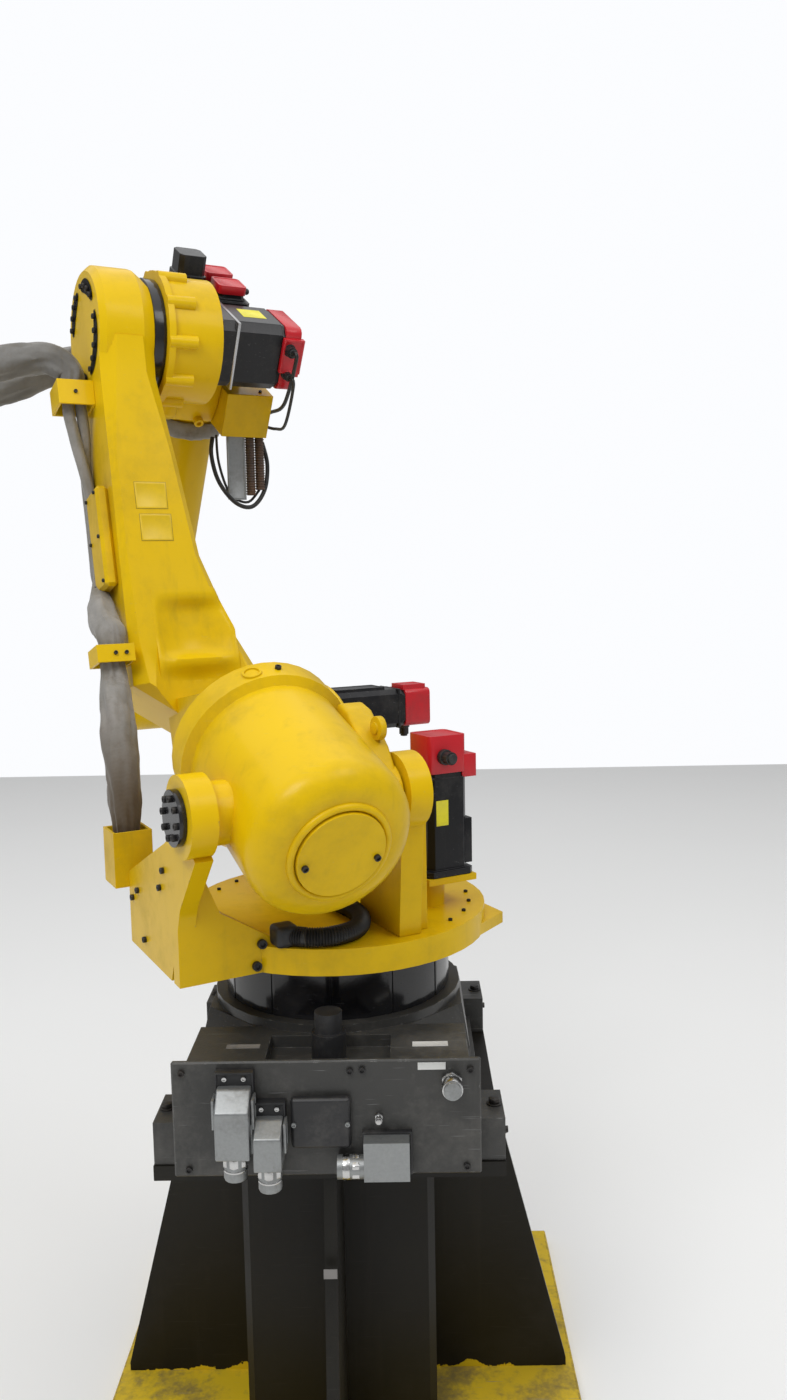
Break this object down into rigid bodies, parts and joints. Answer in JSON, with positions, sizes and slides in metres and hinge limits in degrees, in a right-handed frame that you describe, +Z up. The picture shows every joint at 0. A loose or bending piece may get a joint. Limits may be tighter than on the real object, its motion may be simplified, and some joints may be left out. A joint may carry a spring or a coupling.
{
  "type": "industrial robot arm",
  "caption": "Heavy floor-mounted jointed robot arm with a balancing cylinder, on a black welded steel riser.",
  "frame": {"origin": "on the floor under the vertical first axis, at the middle of the riser's foot plate", "axes": "+Z up; the base's connector panel faces -Y and the base's forward side is +Y; +X to the right seen from the panel's side"},
  "size_m": [1.533, 2.0192, 2.7248],
  "materials": {
    "robot_yellow": "glossy yellow paint over cast iron and aluminium, scuffed at the edges",
    "base_grey": "dark grey paint over cast iron, dusty",
    "riser_black": "satin black paint over welded steel plate",
    "foot_yellow": "brushed-on floor paint over steel plate, worn",
    "motor_black": "semi-gloss black paint over aluminium housings",
    "reducer_black": "gloss black paint, oily",
    "cover_black": "moulded black plastic and rubber",
    "connector_zinc": "die-cast grey metal, dull",
    "machined_steel": "machined and ground",
    "hose_rubber": "black corrugated hose",
    "sleeve_fabric": "woven grey heat-resistant sleeve"
  },
  "bodies": {
    "base": {"riser_foot_plate": "foot_yellow", "riser_column": "riser_black", "riser_top_plate": "riser_black", "riser_gusset_left": "riser_black", "riser_gusset_right": "riser_black", "riser_gusset_front": "riser_black", "riser_gusset_rear": "riser_black", "base_casting": "base_grey", "connector_panel": "base_grey", "panel_cover": "cover_black", "power_connector": "connector_zinc", "signal_connector": "connector_zinc", "side_connector": "connector_zinc", "round_connector": "connector_zinc", "stop_post": "cover_black", "slewing_ring": "reducer_black"},
    "turret": {"turret_disc": "robot_yellow", "j2_tower": "robot_yellow", "j2_reducer": "reducer_black", "balancer_yoke_left": "robot_yellow", "balancer_yoke_right": "robot_yellow", "trunnion_cap_left": "reducer_black", "trunnion_cap_right": "reducer_black", "j1_motor": "motor_black", "j2_motor": "motor_black", "cable_bracket": "robot_yellow", "turret_hose": "hose_rubber", "dress_sleeve_lower": "sleeve_fabric"},
    "balancer": {"balancer_cylinder": "robot_yellow", "balancer_end_cover": "robot_yellow"},
    "lower_arm": {"lower_arm": "robot_yellow", "balancer_pin": "machined_steel", "j3_reducer": "reducer_black", "arm_side_cover": "robot_yellow", "lower_hose_clamp": "robot_yellow", "upper_hose_bracket": "robot_yellow", "dress_sleeve_upper": "sleeve_fabric", "dress_loop": "sleeve_fabric"},
    "balancer_rod": {"balancer_rod": "machined_steel"},
    "upper_arm": {"arm_casing": "robot_yellow", "j3_motor": "motor_black", "j4_motor": "motor_black", "j5_motor": "motor_black", "j6_motor": "motor_black", "cable_box": "robot_yellow", "loop_bracket": "robot_yellow"},
    "forearm": {"forearm": "robot_yellow"},
    "wrist": {"wrist_body": "robot_yellow"},
    "flange": {"tool_flange": "machined_steel"}
  },
  "joints": [
    {"name": "j1", "type": "hinge", "parent": "base", "child": "turret", "pos_m": [0, 0, 1.1], "axis": [0, 0, 1], "range_deg": [-209.1, 150.9]},
    {"name": "j2", "type": "hinge", "parent": "turret", "child": "lower_arm", "pos_m": [-0.15174, 0.27262, 1.424], "axis": [-0.8738, -0.4863, 0], "range_deg": [-74.6, 61.4], "deforming": ["dress_sleeve_lower"]},
    {"name": "j3", "type": "hinge", "parent": "lower_arm", "child": "upper_arm", "pos_m": [-0.28352, 0.50939, 2.46429], "axis": [0.8738, 0.4863, 0], "range_deg": [-28, 240], "deforming": ["dress_loop"]},
    {"name": "j4", "type": "hinge", "parent": "upper_arm", "child": "forearm", "pos_m": [-0.37829, 0.67965, 2.57679], "axis": [-0.2432, 0.4369, -0.866], "range_deg": [-360, 360]},
    {"name": "j5", "type": "hinge", "parent": "forearm", "child": "wrist", "pos_m": [-0.68954, 1.23886, 1.46827], "axis": [0.8738, 0.4863, 0], "range_deg": [-185, 65]},
    {"name": "j6", "type": "hinge", "parent": "wrist", "child": "flange", "pos_m": [-0.7941, 1.42672, 1.46827], "axis": [-0.4863, 0.8738, 0], "range_deg": [-360, 360]},
    {"name": "balancer_swing", "type": "hinge", "parent": "turret", "child": "balancer", "pos_m": [-0.03858, -0.34192, 1.4496], "axis": [0.8738, 0.4863, 0], "range_deg": [-49.3, 40.6]},
    {"name": "rod_pin", "type": "hinge", "parent": "lower_arm", "child": "balancer_rod", "pos_m": [-0.2098, -0.03431, 1.58984], "axis": [0.8738, 0.4863, 0], "range_deg": [-124, 102]}
  ],
  "couplings": [
    {"joint": "balancer_swing", "follows": "j2", "ratio": 0.66},
    {"joint": "rod_pin", "follows": "j2", "ratio": 1.66}
  ]
}
